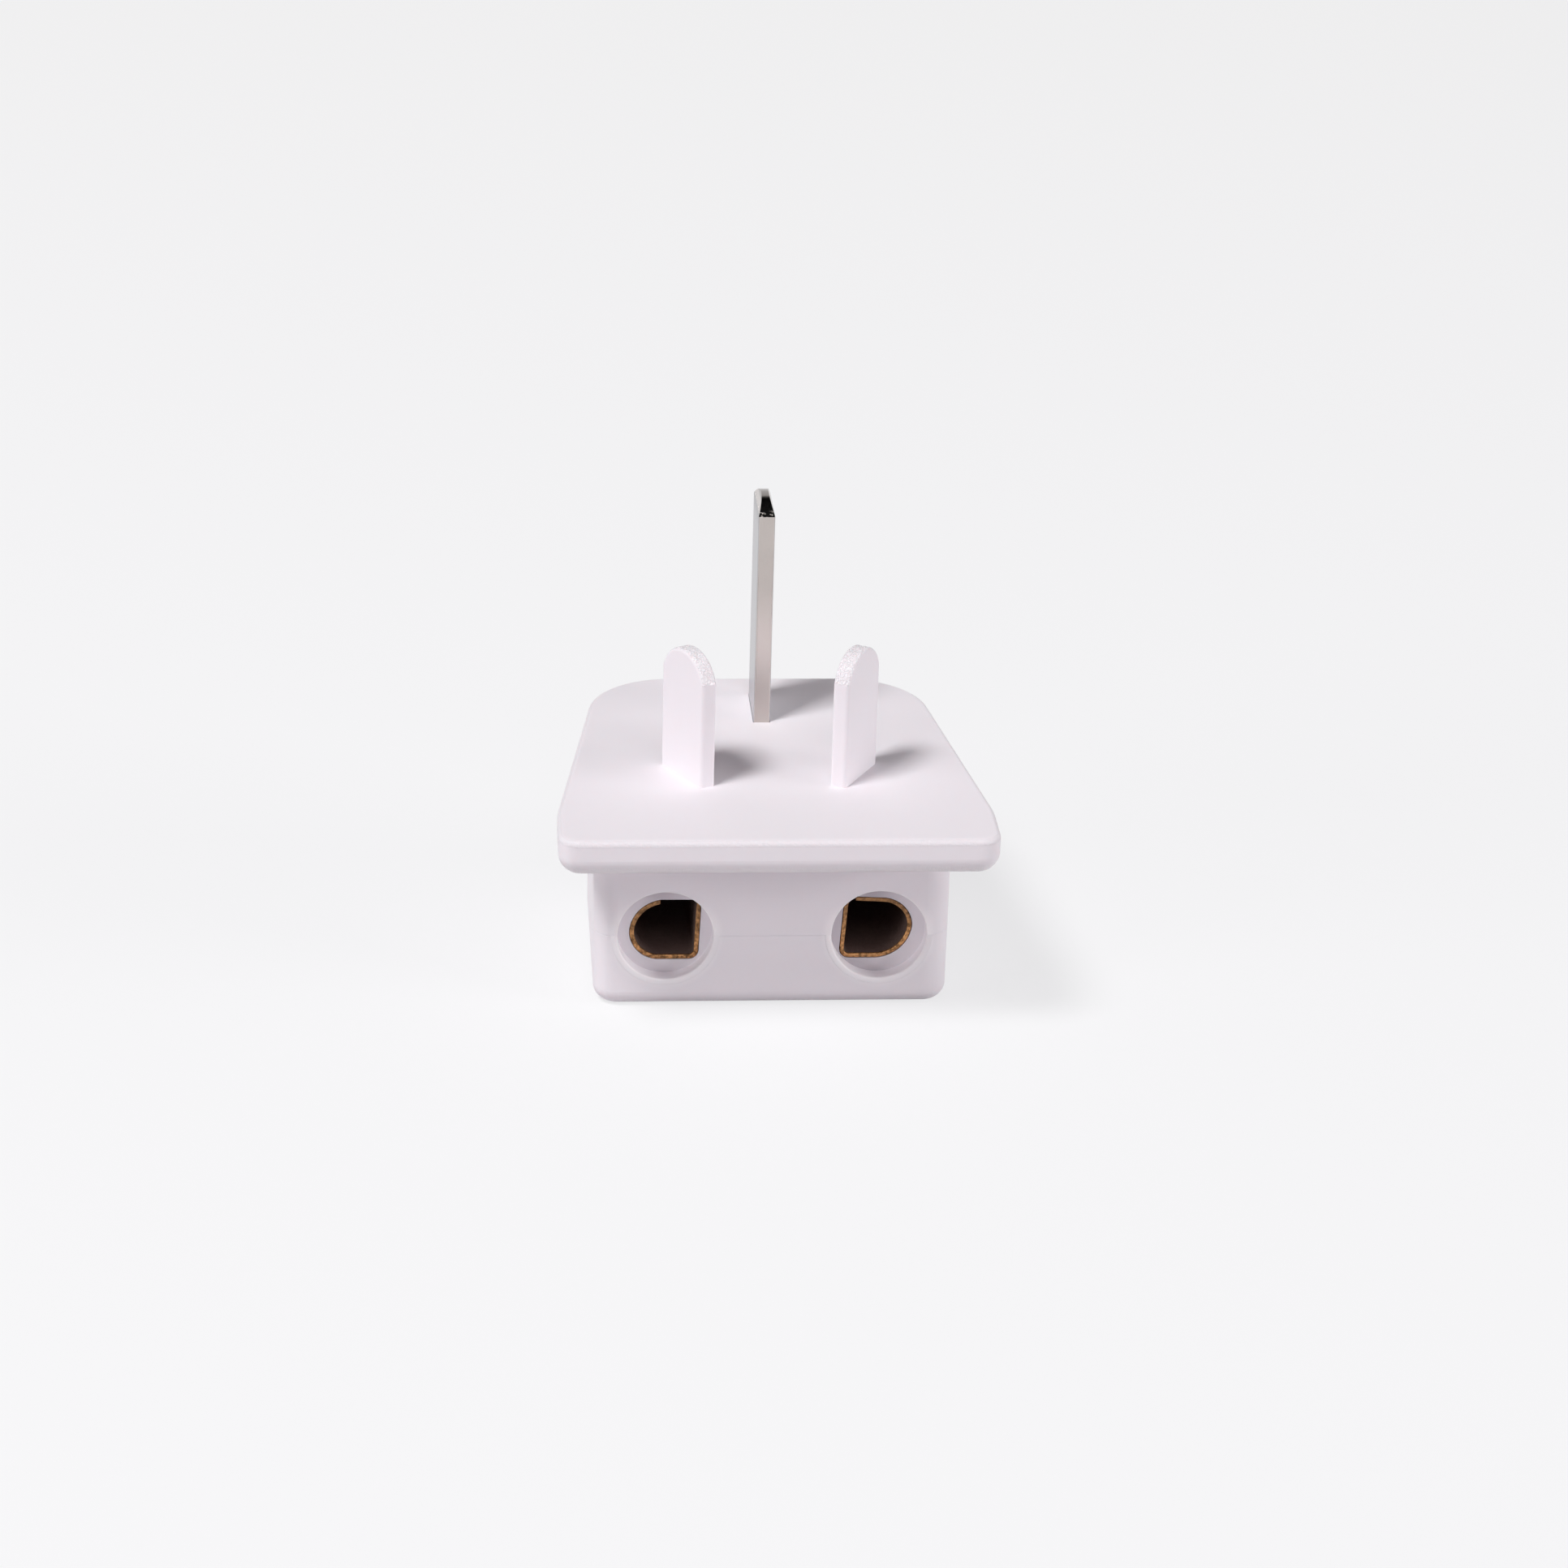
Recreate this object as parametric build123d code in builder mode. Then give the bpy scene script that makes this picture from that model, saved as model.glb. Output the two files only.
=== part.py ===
from build123d import *
import os
from math import cos, radians, sin, tan

# Earthing plug adapter, standing on its base with its pins up and its two sockets towards -Y.
# The origin is on the surface it stands on, under the centre of the pin pattern.

# Heights of the body, from the surface it stands on
block_height = 14.8
plate_thickness = 3.3
seam_height = 6.5  # the two shells meet on the centre line of the sockets
plate_top = block_height + plate_thickness

# Face plate in plan: straight at the front of its sides, then tapering to a rounded rear
plate_half_width = 17.8
plate_half_depth = 17.4
side_bend_y = -11.25
side_taper = 8.1
side_bend_radius = 12.5
plate_front_radius = 1.85
plate_rear_radius = 7.3
plate_top_radius = 0.5
plate_bottom_radius = 1.6

# Socket block under the plate
block_half_width = 14.7
block_front_y = -10.6
block_rear_y = 15.6
block_front_radius = 2.0
block_rear_radius = 8.0
block_bottom_radius = 1.4

# Walls, ribs and the lap joint between the shells
wall = 1.8
front_wall = 2.8
floor = 1.8
rib = 1.2
saddle_rib_y = (-3.0, 4.6)
tongue = 0.8
joint_gap = 0.05
seam_groove = 0.06
peg_radius = 1.0
boss_radius = 2.1
peg_length = 2.6
peg_y = (-7.4, 0.8)
post_x = 4.0
post_width = 2.2
post_depth = 3.6
pad_width = 2.6

# Pin pattern, from the centre of the plug
prong_x = 6.86
prong_y = -3.96
prong_slant = 30.0
prong_width = 6.1
prong_thickness = 1.43
prong_straight = 9.0
prong_tip_rise = 2.25
prong_edge_radius = 0.3
earth_y = 10.31
blade_width = 6.3
blade_thickness = 1.4
blade_straight = 18.52
blade_tip_rise = 1.15
blade_tip_thickness = 0.62
blade_edge_radius = 0.15

# Parts of the earth pin inside the body
shoulder_width = 8.3
shoulder_depth = 2.2
tenon_width = 3.2
tenon_head = 0.45
tenon_head_spread = 0.35
tenon_head_slope = 20

# Sockets: a round recess with a rolled sleeve of D section behind its floor
socket_x = 8.83
recess_radius = 3.95
recess_depth = 1.4
upper_lip = 0.06
lower_lip = 0.5
sleeve_width = 5.95
sleeve_height = 5.45
sleeve_corner = 0.8
sheet = 0.35
sleeve_rear_y = 9.0
seam_gap = {"left": 3.0, "right": 0.55}  # the left sleeve is open wider
seam_gap_from_flat = 0.36

# Section of each sleeve, outwards and up from its axis: rolled sheet, a little out of true
sleeve_shape = {
    "left": {
        "inner_bottom": (-2.77, -sleeve_height / 2),
        "inner_top": (-2.98, 2.6),
        "top": (0.3, 2.62),
        "shoulder": (2.0, 1.78),
        "nose": (2.88, -0.13),
        "haunch": (2.33, -1.81),
        "bottom": (0.7, -sleeve_height / 2),
    },
    "right": {
        "inner_bottom": (-3.15, -sleeve_height / 2),
        "inner_top": (-2.8, 2.85),
        "top": (0.6, 2.68),
        "shoulder": (2.03, 2.0),
        "nose": (2.83, 0.3),
        "haunch": (1.89, -1.85),
        "bottom": (-0.2, -sleeve_height / 2),
    },
}

# Tail of each sleeve, with the bonding strip and the rivets that join them
tail_x = 7.7
tail_width = 4.4
tail_neck_y = 9.7
tail_end_y = 13.2
neck_width = 2.1
neck_flare = 0.6
strip_thickness = 0.8
strip_half_length = 10.2
strip_half_width = 2.9
strip_corner = 1.2
rivet_y = 11.3
rivet_radius = 1.0
rivet_head_radius = 1.7
rivet_head = 0.55
rivet_tail_radius = 1.5
rivet_tail = 0.4
rivet_tail_flare = 0.3
fit_gap = 0.03

strip_top = seam_height - sleeve_height / 2
strip_bottom = strip_top - strip_thickness
side_sign = {"left": -1, "right": 1}

os.makedirs("parts", exist_ok=True)


def block_plan(height, inset=0.0, front_inset=0.0):
    """Plan of the socket block at a height, or of a space inside its walls."""
    half_width = block_half_width - inset
    front_y = block_front_y + front_inset
    rear_y = block_rear_y - inset
    with BuildSketch(Plane.XY.offset(height)) as plan:
        with BuildLine():
            Polyline(
                (-half_width, front_y),
                (half_width, front_y),
                (half_width, rear_y),
                (-half_width, rear_y),
                close=True,
            )
        make_face()
        fillet(plan.vertices().group_by(Axis.Y)[0], max(block_front_radius - inset, 0.5))
        fillet(plan.vertices().group_by(Axis.Y)[-1], block_rear_radius - inset)
    return plan.sketch


def plate_plan(height):
    """Plan of the face plate at a height."""
    rear_half_width = plate_half_width - (plate_half_depth - side_bend_y) * tan(radians(side_taper))
    with BuildSketch(Plane.XY.offset(height)) as plan:
        with BuildLine():
            Polyline(
                (-plate_half_width, -plate_half_depth),
                (plate_half_width, -plate_half_depth),
                (plate_half_width, side_bend_y),
                (rear_half_width, plate_half_depth),
                (-rear_half_width, plate_half_depth),
                (-plate_half_width, side_bend_y),
                close=True,
            )
        make_face()
        fillet(plan.vertices().group_by(Axis.Y)[1], side_bend_radius)
        fillet(plan.vertices().group_by(Axis.Y)[0], plate_front_radius)
        fillet(plan.vertices().group_by(Axis.Y)[-1], plate_rear_radius)
    return plan.sketch


def sleeve_point(side, name):
    """A point of a sleeve's section, seen from the front."""
    outwards, up = sleeve_shape[side][name]
    return (side_sign[side] * (socket_x + outwards), seam_height + up)


def sleeve_section(side, y, spread=0.0):
    """D section of a contact sleeve at a depth: round towards the outside, flat towards the middle."""
    point = {name: sleeve_point(side, name) for name in sleeve_shape[side]}
    with BuildSketch(Plane.XZ.offset(-y)) as section:
        with BuildLine():
            Polyline(point["top"], point["inner_top"], point["inner_bottom"], point["bottom"])
            ThreePointArc(point["bottom"], point["haunch"], point["nose"])
            ThreePointArc(point["nose"], point["shoulder"], point["top"])
        make_face()
        inner_corners = section.vertices().sort_by(Axis.X)
        inner_corners = inner_corners[:2] if side_sign[side] > 0 else inner_corners[-2:]
        fillet(inner_corners, sleeve_corner)
        if spread:
            offset(amount=spread)
    return section.sketch


def recess_tool(side, lip):
    """Round recess in front of a sleeve, flared at its lip, as a solid to cut away."""
    axis_plane = Plane(
        origin=(side_sign[side] * socket_x, block_front_y, seam_height),
        x_dir=(1, 0, 0),
        z_dir=(0, 0, 1),
    )
    lip_radius = recess_radius + lip
    with BuildPart() as tool:
        with BuildSketch(axis_plane):
            with BuildLine():
                Polyline((0, recess_depth), (0, -0.2), (lip_radius, -0.2), (lip_radius, 0))
                RadiusArc((lip_radius, 0), (recess_radius, lip), -lip)
                Polyline((recess_radius, lip), (recess_radius, recess_depth), (0, recess_depth))
            make_face()
        revolve(axis=Axis((side_sign[side] * socket_x, 0, seam_height), (0, 1, 0)))
    return tool.part


def sleeve_room(side):
    """Room for a sleeve through the front wall and the saddle ribs, as a solid to cut away."""
    length = sleeve_rear_y - block_front_y - recess_depth + 2 * joint_gap
    return extrude(sleeve_section(side, sleeve_rear_y + joint_gap, joint_gap), amount=length)


# Lower shell: a tray with the lower halves of both sockets
with BuildPart() as base_shell:
    extrude(block_plan(0), amount=seam_height)
    fillet(base_shell.faces().sort_by(Axis.Z)[0].edges(), block_bottom_radius)
    chamfer(base_shell.faces().sort_by(Axis.Z)[-1].edges(), seam_groove)
    extrude(block_plan(floor, wall, front_wall), amount=seam_height, mode=Mode.SUBTRACT)
    # Cross ribs that cradle the sleeves
    with BuildSketch(Plane.XY.offset(floor)):
        for y in saddle_rib_y:
            with Locations((0, y)):
                Rectangle(2 * (block_half_width - wall), rib)
    extrude(amount=seam_height - floor)
    # Bosses that take the pegs of the upper shell
    with BuildSketch(Plane.XY.offset(floor)):
        for y in peg_y:
            with Locations((0, y)):
                Circle(boss_radius)
    extrude(amount=seam_height - floor)
    with BuildSketch(Plane.XY.offset(seam_height)):
        for y in peg_y:
            with Locations((0, y)):
                Circle(peg_radius + joint_gap)
    extrude(amount=-(peg_length + joint_gap), mode=Mode.SUBTRACT)
    # Pads under the bonding strip
    with BuildSketch(Plane.XY.offset(floor)):
        with Locations((-post_x, earth_y), (post_x, earth_y)):
            Rectangle(pad_width, 2 * strip_half_width)
    extrude(amount=strip_bottom - floor)
    # Tongue of the lap joint, along the sides and the rear
    extrude(block_plan(seam_height, wall - tongue, front_wall), amount=tongue)
    extrude(block_plan(seam_height, wall, front_wall), amount=tongue, mode=Mode.SUBTRACT)
    for side in side_sign:
        add(recess_tool(side, lower_lip), mode=Mode.SUBTRACT)
        add(sleeve_room(side), mode=Mode.SUBTRACT)
base_shell.part.label = "base_shell"
export_step(base_shell.part, "parts/base_shell.step")


# Upper shell: face plate, skirt and the two dummy prongs, moulded as one
with BuildPart() as face_shell:
    extrude(plate_plan(block_height), amount=plate_thickness)
    fillet(face_shell.faces().sort_by(Axis.Z)[-1].edges(), plate_top_radius)
    fillet(face_shell.faces().sort_by(Axis.Z)[0].edges(), plate_bottom_radius)
    skirt_height = block_height - seam_height
    extrude(block_plan(seam_height), amount=skirt_height)
    extrude(block_plan(seam_height, wall, front_wall), amount=skirt_height, mode=Mode.SUBTRACT)
    # Rebate of the lap joint
    rebate_inset = wall - tongue - joint_gap
    extrude(
        block_plan(seam_height, rebate_inset, front_wall), amount=tongue + joint_gap, mode=Mode.SUBTRACT
    )
    # Cross ribs over the sleeves
    with BuildSketch(Plane.XY.offset(block_height)):
        for y in saddle_rib_y:
            with Locations((0, y)):
                Rectangle(2 * (block_half_width - wall), rib)
    extrude(amount=-skirt_height)
    # Stops behind the sleeves
    with BuildSketch(Plane.XY.offset(block_height)):
        for sign in side_sign.values():
            with Locations((sign * socket_x, sleeve_rear_y + joint_gap + rib / 2)):
                Rectangle(sleeve_width, rib)
    extrude(amount=-skirt_height)
    # Cheeks on both sides of the earth pin, and posts that hold the strip down
    cheek_x = blade_thickness / 2 + joint_gap + rib / 2
    cheek_front_y = earth_y - shoulder_width / 2
    cheek_rear_y = block_rear_y - wall
    with BuildSketch(Plane.XY.offset(block_height)):
        for sign in side_sign.values():
            with Locations((sign * cheek_x, (cheek_front_y + cheek_rear_y) / 2)):
                Rectangle(rib, cheek_rear_y - cheek_front_y)
    extrude(amount=-skirt_height)
    with BuildSketch(Plane.XY.offset(block_height)):
        with Locations((-post_x, earth_y), (post_x, earth_y)):
            Rectangle(post_width, post_depth)
    extrude(amount=-(block_height - strip_top - joint_gap))
    # Pegs that fit the bosses of the lower shell
    with BuildSketch(Plane.XY.offset(block_height)):
        for y in peg_y:
            with Locations((0, y)):
                Circle(boss_radius)
    extrude(amount=-skirt_height)
    with BuildSketch(Plane.XY.offset(seam_height)):
        for y in peg_y:
            with Locations((0, y)):
                Circle(peg_radius)
    extrude(amount=-peg_length)
    # Slot for the blade through the plate, and the pocket for its shoulders
    with BuildSketch(Plane.XY.offset(plate_top)):
        with Locations((0, earth_y)):
            Rectangle(blade_thickness + 2 * fit_gap, blade_width + 2 * fit_gap)
    extrude(amount=-plate_thickness, mode=Mode.SUBTRACT)
    with BuildSketch(Plane.XY.offset(block_height)):
        with Locations((0, earth_y)):
            Rectangle(blade_thickness + 2 * joint_gap, shoulder_width + 2 * joint_gap)
    extrude(amount=-(shoulder_depth + joint_gap), mode=Mode.SUBTRACT)
    for side in side_sign:
        add(recess_tool(side, upper_lip), mode=Mode.SUBTRACT)
        add(sleeve_room(side), mode=Mode.SUBTRACT)
    # Dummy prongs, slanted towards each other at the front
    for sign in side_sign.values():
        slant = radians(prong_slant)
        prong_plane = Plane(
            origin=(sign * prong_x, prong_y, plate_top),
            x_dir=(sign * sin(slant), cos(slant), 0),
            z_dir=(cos(slant), -sign * sin(slant), 0),
        )
        half_width = prong_width / 2
        with BuildSketch(prong_plane):
            with BuildLine():
                Polyline(
                    (half_width, prong_straight),
                    (half_width, -plate_thickness / 2),
                    (-half_width, -plate_thickness / 2),
                    (-half_width, prong_straight),
                )
                ThreePointArc(
                    (-half_width, prong_straight),
                    (0, prong_straight + prong_tip_rise),
                    (half_width, prong_straight),
                )
            make_face()
        extrude(amount=prong_thickness / 2, both=True)
    prong_edges = face_shell.edges().filter_by(lambda edge: edge.center().Z > plate_top + 1)
    prong_edges = prong_edges.filter_by(lambda edge: edge.length > 2 * prong_thickness)
    fillet(prong_edges, prong_edge_radius)
face_shell.part.label = "face_shell"
export_step(face_shell.part, "parts/face_shell.step")


# Earth pin: a flat blade with shoulders under the plate and a tenon riveted over the strip
with BuildPart() as earth_pin:
    half_blade = blade_width / 2
    half_shoulder = shoulder_width / 2
    half_tenon = tenon_width / 2
    tip_base = plate_top + blade_straight
    blade_end = tip_base + blade_tip_rise
    with BuildSketch(Plane.YZ):
        with BuildLine():
            Polyline(
                (earth_y - half_blade, tip_base),
                (earth_y - half_blade, block_height),
                (earth_y - half_shoulder, block_height),
                (earth_y - half_shoulder, block_height - shoulder_depth),
                (earth_y - half_blade, block_height - shoulder_depth),
                (earth_y - half_blade, strip_top),
                (earth_y - half_tenon, strip_top),
                (earth_y - half_tenon, strip_bottom - tenon_head),
                (earth_y + half_tenon, strip_bottom - tenon_head),
                (earth_y + half_tenon, strip_top),
                (earth_y + half_blade, strip_top),
                (earth_y + half_blade, block_height - shoulder_depth),
                (earth_y + half_shoulder, block_height - shoulder_depth),
                (earth_y + half_shoulder, block_height),
                (earth_y + half_blade, block_height),
                (earth_y + half_blade, tip_base),
            )
            ThreePointArc(
                (earth_y + half_blade, tip_base),
                (earth_y, blade_end),
                (earth_y - half_blade, tip_base),
            )
        make_face()
    extrude(amount=blade_thickness / 2, both=True)
    long_edges = earth_pin.edges().filter_by(Axis.Z).filter_by(lambda edge: edge.length > blade_straight)
    fillet(long_edges, blade_edge_radius)
    # The tip thins to a blunt edge
    with BuildSketch(Plane.XZ.offset(-earth_y)):
        with BuildLine():
            Polyline(
                (-blade_thickness / 2, 0),
                (blade_thickness / 2, 0),
                (blade_thickness / 2, tip_base),
                (blade_tip_thickness / 2, blade_end),
                (-blade_tip_thickness / 2, blade_end),
                (-blade_thickness / 2, tip_base),
                close=True,
            )
        make_face()
    extrude(amount=shoulder_width, both=True, mode=Mode.INTERSECT)
    # Upset end of the tenon
    with BuildSketch(Plane.XY.offset(strip_bottom)):
        with Locations((0, earth_y)):
            Rectangle(blade_thickness + 2 * tenon_head_spread, tenon_width + 2 * tenon_head_spread)
    extrude(amount=-tenon_head, taper=tenon_head_slope)
earth_pin.part.label = "earth_pin"
export_step(earth_pin.part, "parts/earth_pin.step")


# Bonding strip: a flat stamping that joins both sleeves to the earth pin
with BuildPart() as bonding_strip:
    with BuildSketch(Plane.XY.offset(strip_bottom)) as strip_plan:
        with Locations((0, earth_y)):
            RectangleRounded(2 * strip_half_length, 2 * strip_half_width, strip_corner)
            Rectangle(
                blade_thickness + 2 * fit_gap, tenon_width + 2 * fit_gap, mode=Mode.SUBTRACT
            )
        with Locations((-tail_x, rivet_y), (tail_x, rivet_y)):
            Circle(rivet_radius, mode=Mode.SUBTRACT)
    extrude(amount=strip_thickness)
bonding_strip.part.label = "bonding_strip"
export_step(bonding_strip.part, "parts/bonding_strip.step")


def make_sleeve(side):
    """A contact sleeve: sheet rolled to a D, open along its top, with a flat tail behind."""
    out = side_sign[side]
    length = sleeve_rear_y - block_front_y - recess_depth
    with BuildPart() as sleeve:
        extrude(sleeve_section(side, sleeve_rear_y), amount=length)
        bore = sleeve_section(side, sleeve_rear_y, -sheet)
        extrude(bore, amount=length, mode=Mode.SUBTRACT)
        # The seam between the two ends of the rolled sheet
        gap = seam_gap[side]
        gap_x = sleeve_point(side, "inner_top")[0] + out * (seam_gap_from_flat + gap / 2)
        with BuildSketch(Plane.XZ.offset(-sleeve_rear_y)):
            with Locations((gap_x, seam_height + sleeve_height / 2)):
                Rectangle(gap, 2 * sleeve_corner)
        extrude(amount=length, mode=Mode.SUBTRACT)
        # The tail grows out of the flat bottom of the D
        neck_x = sleeve_point(side, "inner_bottom")[0] + out * sleeve_corner
        neck_far_x = neck_x + out * neck_width
        with BuildSketch(Plane.XY.offset(strip_top)) as tail:
            with BuildLine():
                Polyline(
                    (neck_x, sleeve_rear_y),
                    (neck_x, tail_neck_y - neck_flare),
                    (out * (tail_x - tail_width / 2), tail_neck_y),
                    (out * (tail_x - tail_width / 2), tail_end_y),
                    (out * (tail_x + tail_width / 2), tail_end_y),
                    (out * (tail_x + tail_width / 2), tail_neck_y),
                    (neck_far_x, tail_neck_y - neck_flare),
                    (neck_far_x, sleeve_rear_y),
                    close=True,
                )
            make_face()
            fillet(tail.vertices().group_by(Axis.Y)[-1], strip_corner)
            with Locations((out * tail_x, rivet_y)):
                Circle(rivet_radius, mode=Mode.SUBTRACT)
        extrude(amount=sheet)
    name = f"{side}_contact_sleeve"
    sleeve.part.label = name
    export_step(sleeve.part, f"parts/{name}.step")


def make_rivet(side):
    """A rivet through a sleeve's tail and the strip, domed above and upset below."""
    centre_x = side_sign[side] * tail_x
    tail_top = strip_top + sheet
    shank_radius = rivet_radius - fit_gap
    with BuildPart() as rivet:
        with BuildSketch(Plane.XZ.offset(-rivet_y)):
            with BuildLine():
                Polyline(
                    (centre_x, tail_top + rivet_head),
                    (centre_x, strip_bottom - rivet_tail),
                    (centre_x + rivet_tail_radius - rivet_tail_flare, strip_bottom - rivet_tail),
                    (centre_x + rivet_tail_radius, strip_bottom),
                    (centre_x + shank_radius, strip_bottom),
                    (centre_x + shank_radius, tail_top),
                    (centre_x + rivet_head_radius, tail_top),
                )
                TangentArc(
                    (centre_x, tail_top + rivet_head),
                    (centre_x + rivet_head_radius, tail_top),
                    tangent=(1, 0),
                )
            make_face()
        revolve(axis=Axis((centre_x, rivet_y, 0), (0, 0, 1)))
    name = f"{side}_rivet"
    rivet.part.label = name
    export_step(rivet.part, f"parts/{name}.step")


for side in side_sign:
    make_sleeve(side)
    make_rivet(side)
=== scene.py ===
"""Dresses the earthing plug adapter: white shells, a nickel earth pin and brass contact sleeves.

Everything is in metres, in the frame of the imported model: +Z up along the pins and -Y towards
the sockets.
"""

import math

import bmesh
import bpy
from bpy.props import FloatProperty, FloatVectorProperty, PointerProperty
from mathutils import Matrix, Vector


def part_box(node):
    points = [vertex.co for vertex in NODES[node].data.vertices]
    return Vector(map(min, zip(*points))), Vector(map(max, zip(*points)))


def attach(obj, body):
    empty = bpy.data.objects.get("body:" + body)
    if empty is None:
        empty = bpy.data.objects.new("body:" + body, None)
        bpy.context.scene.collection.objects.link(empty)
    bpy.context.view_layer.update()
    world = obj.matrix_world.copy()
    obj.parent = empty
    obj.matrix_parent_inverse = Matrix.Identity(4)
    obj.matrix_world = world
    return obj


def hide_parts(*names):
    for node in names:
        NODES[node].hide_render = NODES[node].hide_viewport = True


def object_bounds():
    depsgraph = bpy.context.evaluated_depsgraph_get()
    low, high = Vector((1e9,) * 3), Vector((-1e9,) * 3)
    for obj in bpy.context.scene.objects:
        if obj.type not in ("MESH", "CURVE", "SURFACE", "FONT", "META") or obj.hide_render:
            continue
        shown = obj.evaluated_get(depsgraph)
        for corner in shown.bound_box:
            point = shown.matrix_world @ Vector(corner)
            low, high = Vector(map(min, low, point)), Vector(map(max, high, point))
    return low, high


bl_info = {
    "name": "Earthing plug adapter",
    "version": (1, 0, 0),
    "blender": (4, 5, 0),
    "location": "3D View > Sidebar > Adapter",
    "description": "Finishes a white earthing plug adapter and lights it on a pale floor",
    "category": "Object",
}

MM = 0.001
WHITE = (1.0, 1.0, 1.0)

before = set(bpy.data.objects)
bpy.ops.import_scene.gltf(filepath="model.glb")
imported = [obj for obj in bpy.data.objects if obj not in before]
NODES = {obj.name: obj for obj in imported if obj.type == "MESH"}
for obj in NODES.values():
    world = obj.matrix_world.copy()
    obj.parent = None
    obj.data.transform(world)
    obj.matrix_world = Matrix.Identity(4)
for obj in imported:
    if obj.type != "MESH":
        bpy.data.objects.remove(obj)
CAD_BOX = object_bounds()
PLATE_FRONT = CAD_BOX[0][1]


# Sizes and colours that a user would change


class StageSettings(bpy.types.PropertyGroup):
    """Camera, lamps and floor."""

    target: FloatVectorProperty(
        name="Target",
        description="Point that the camera looks at",
        default=(1.474 * MM, 0.0, 15.485 * MM),
        unit="LENGTH",
        precision=5,
    )
    distance: FloatProperty(
        name="Distance",
        description="From the camera to its target",
        default=340.5 * MM,
        unit="LENGTH",
    )
    turn: FloatProperty(
        name="Turn",
        description="How far the camera stands to the left of the sockets' axis",
        default=math.radians(4.8),
        unit="ROTATION",
    )
    height_angle: FloatProperty(
        name="Height angle",
        description="How steeply the camera looks down",
        default=math.radians(23.57),
        unit="ROTATION",
    )
    roll: FloatProperty(
        name="Roll",
        description="Clockwise turn of the camera about its own axis",
        default=math.radians(1.7),
        unit="ROTATION",
    )
    lens: FloatProperty(
        name="Lens",
        description="Focal length for the camera's sensor, in millimetres",
        default=93.17,
    )
    sensor: FloatProperty(
        name="Sensor",
        description="Width of the camera's sensor, in millimetres",
        default=36.0,
    )
    floor_size: FloatProperty(
        name="Floor size",
        description="Side of the floor",
        default=6.0,
        unit="LENGTH",
    )
    floor_color: FloatVectorProperty(
        name="Floor colour",
        description="Colour of the floor near the adapter and of the surroundings behind it",
        default=(0.94, 0.94, 0.95),
        subtype="COLOR",
    )
    floor_fade: FloatProperty(
        name="Floor fade",
        description="How far behind the adapter the floor turns white",
        default=0.6,
        unit="LENGTH",
    )
    floor_bounce: FloatVectorProperty(
        name="Floor bounce",
        description="Colour that the floor throws back on the adapter",
        default=(0.505, 0.48, 0.50),
        subtype="COLOR",
    )
    floor_shade: FloatProperty(
        name="Floor shade",
        description="How much of the adapter's shadow the camera sees on the floor",
        default=0.25,
        subtype="FACTOR",
    )
    key_power: FloatProperty(
        name="Key lamp",
        description="Power of the soft lamp above on the left",
        default=6.95,
        unit="POWER",
    )
    left_power: FloatProperty(
        name="Left lamp",
        description="Power of the broad low lamp on the left",
        default=2.7,
        unit="POWER",
    )
    right_power: FloatProperty(
        name="Right lamp",
        description="Power of the broad low lamp on the right",
        default=4.6,
        unit="POWER",
    )
    front_power: FloatProperty(
        name="Front lamp",
        description="Power of the wide lamp in front",
        default=1.1,
        unit="POWER",
    )
    sky: FloatVectorProperty(
        name="Sky",
        description="Light of the surroundings on the adapter",
        default=(0.058, 0.042, 0.052),
        subtype="COLOR",
    )
    card_place: FloatVectorProperty(
        name="Card place",
        description="Middle of the black card",
        default=(0.02, 0.21, 0.5),
        unit="LENGTH",
    )
    card_width: FloatProperty(
        name="Card width",
        description="Width of the black card",
        default=0.2,
        unit="LENGTH",
    )
    card_depth: FloatProperty(
        name="Card depth",
        description="Depth of the black card",
        default=0.68,
        unit="LENGTH",
    )
    card_color: FloatVectorProperty(
        name="Card colour",
        description="Colour of the black card",
        default=(0.005, 0.005, 0.006),
        subtype="COLOR",
    )


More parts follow.
